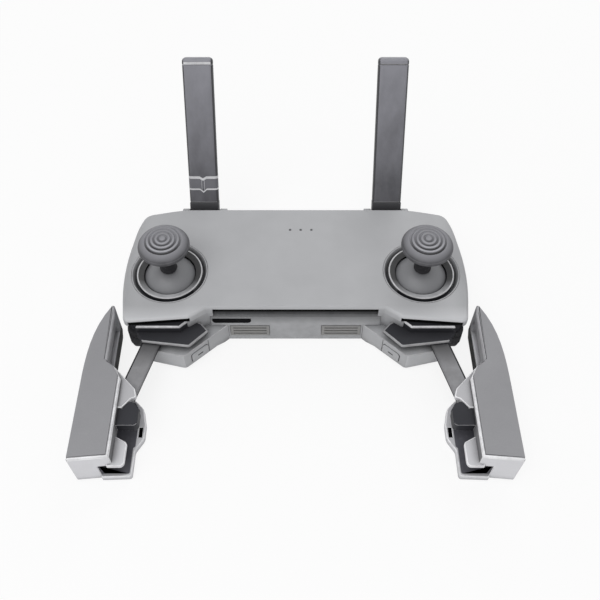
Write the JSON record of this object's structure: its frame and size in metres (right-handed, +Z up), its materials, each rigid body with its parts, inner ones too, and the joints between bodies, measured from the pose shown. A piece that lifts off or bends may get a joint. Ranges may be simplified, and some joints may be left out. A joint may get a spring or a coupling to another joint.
{
  "type": "radio transmitter controller",
  "caption": "Folding hand-held radio transmitter controller with tilting thumb sticks, raised flip-up antennas and phone clamps on swinging link arms.",
  "frame": {"origin": "on the sole the controller lies on, in the middle of its width and of the body's depth", "axes": "+X to the holder's right, across the body; +Y away from the holder, towards the antennas; +Z up through the face"},
  "size_m": [0.1682, 0.1578, 0.078],
  "materials": {
    "shell": "fine matte moulding",
    "ring": "satin moulding",
    "dome": "satin moulding",
    "cap": "matte ridged",
    "dark": "matte dark moulding",
    "black_trim": "black strip",
    "rubber": "matte",
    "link": "satin dark",
    "clamp": "satin moulding",
    "clamp_cover": "fine matte",
    "antenna": "fine matte",
    "steel": "plain",
    "light_guide": "smoked clear",
    "board": "solder resist",
    "cell": "wrapped cell"
  },
  "bodies": {
    "body": {"top_shell": "shell", "bottom_shell": "shell", "trim_strip": "black_trim", "front_panel": "shell", "left_store_pad": "rubber", "right_store_pad": "rubber", "led_guide": "light_guide", "main_board": "board", "battery_pack": "cell", "usb_port": "steel", "screw_front_left": "steel", "screw_front_right": "steel", "screw_back_left": "steel", "screw_back_right": "steel", "left_bezel_ring": "ring", "right_bezel_ring": "ring", "left_gimbal_housing": "dark", "right_gimbal_housing": "dark", "left_hinge_cover": "dark", "right_hinge_cover": "dark", "left_arm_pin": "steel", "right_arm_pin": "steel", "left_antenna_pin": "steel", "right_antenna_pin": "steel", "dial_axle": "steel"},
    "left_yoke": {"left_gimbal_yoke": "steel"},
    "left_stick": {"left_stick_shaft": "steel", "left_stick_dome": "dome", "left_stick_cap": "cap"},
    "right_yoke": {"right_gimbal_yoke": "steel"},
    "right_stick": {"right_stick_shaft": "steel", "right_stick_dome": "dome", "right_stick_cap": "cap"},
    "left_antenna": {"left_antenna_knuckle": "antenna", "left_antenna_blade": "antenna", "left_antenna_tip": "antenna"},
    "right_antenna": {"right_antenna_knuckle": "antenna", "right_antenna_blade": "antenna", "right_antenna_tip": "antenna"},
    "left_link": {"left_link_arm": "link"},
    "left_clamp": {"left_clamp_shell": "clamp", "left_clamp_cover": "clamp_cover", "left_clamp_knuckle": "dark", "left_clamp_pad": "rubber", "left_clamp_pin": "steel"},
    "right_link": {"right_link_arm": "link"},
    "right_clamp": {"right_clamp_shell": "clamp", "right_clamp_cover": "clamp_cover", "right_clamp_knuckle": "dark", "right_clamp_pad": "rubber", "right_clamp_pin": "steel"},
    "dial": {"camera_dial": "dark"},
    "record_button": {"record_button": "shell"},
    "photo_button": {"photo_button": "shell"},
    "home_button": {"home_button": "shell"},
    "power_button": {"power_button": "shell"}
  },
  "joints": [
    {"name": "left_stick_sideways", "type": "hinge", "parent": "body", "child": "left_yoke", "pos_m": [-0.0533, -0.008, 0.0136], "axis": [0, 1, 0], "range_deg": [-18, 18], "stiffness_Nm_per_rad": 0.03},
    {"name": "left_stick_fore_aft", "type": "hinge", "parent": "left_yoke", "child": "left_stick", "pos_m": [-0.0533, -0.008, 0.0136], "axis": [1, 0, 0], "range_deg": [-18, 18], "stiffness_Nm_per_rad": 0.03},
    {"name": "right_stick_sideways", "type": "hinge", "parent": "body", "child": "right_yoke", "pos_m": [0.0533, -0.008, 0.0136], "axis": [0, 1, 0], "range_deg": [-18, 18], "stiffness_Nm_per_rad": 0.03},
    {"name": "right_stick_fore_aft", "type": "hinge", "parent": "right_yoke", "child": "right_stick", "pos_m": [0.0533, -0.008, 0.0136], "axis": [1, 0, 0], "range_deg": [-18, 18], "stiffness_Nm_per_rad": 0.03},
    {"name": "left_antenna_flip", "type": "hinge", "parent": "body", "child": "left_antenna", "pos_m": [-0.0415, 0.0304, 0.017], "axis": [1, 0, 0], "range_deg": [-60, 30]},
    {"name": "right_antenna_flip", "type": "hinge", "parent": "body", "child": "right_antenna", "pos_m": [0.0415, 0.0304, 0.017], "axis": [1, 0, 0], "range_deg": [-60, 30]},
    {"name": "left_link_swing", "type": "hinge", "parent": "body", "child": "left_link", "pos_m": [-0.0574, -0.0294, 0.0126], "axis": [0, 0, 1], "range_deg": [-5, 66]},
    {"name": "left_clamp_swing", "type": "hinge", "parent": "left_link", "child": "left_clamp", "pos_m": [-0.06787, -0.06593, 0.0126], "axis": [0, 0, 1], "range_deg": [-3, 24]},
    {"name": "right_link_swing", "type": "hinge", "parent": "body", "child": "right_link", "pos_m": [0.0574, -0.0294, 0.0126], "axis": [0, 0, -1], "range_deg": [-5, 66]},
    {"name": "right_clamp_swing", "type": "hinge", "parent": "right_link", "child": "right_clamp", "pos_m": [0.06787, -0.06593, 0.0126], "axis": [0, 0, -1], "range_deg": [-3, 24]},
    {"name": "camera_dial_turn", "type": "hinge", "parent": "body", "child": "dial", "pos_m": [-0.058, 0.0222, 0.0065], "axis": [0, 0, 1], "range_deg": [-25, 25], "stiffness_Nm_per_rad": 0.01},
    {"name": "record_press", "type": "slide", "parent": "body", "child": "record_button", "axis": [0.2072, -0.9783, 0], "range_m": [0, 0.0007], "stiffness_N_per_m": 600, "springref_m": -0.0006},
    {"name": "photo_press", "type": "slide", "parent": "body", "child": "photo_button", "axis": [-0.2072, -0.9783, 0], "range_m": [0, 0.0007], "stiffness_N_per_m": 600, "springref_m": -0.0006},
    {"name": "home_press", "type": "slide", "parent": "body", "child": "home_button", "axis": [-0.669, 0.7433, 0], "range_m": [0, 0.0007], "stiffness_N_per_m": 600, "springref_m": -0.0006},
    {"name": "power_press", "type": "slide", "parent": "body", "child": "power_button", "axis": [0.669, 0.7433, 0], "range_m": [0, 0.0007], "stiffness_N_per_m": 600, "springref_m": -0.0006}
  ]
}
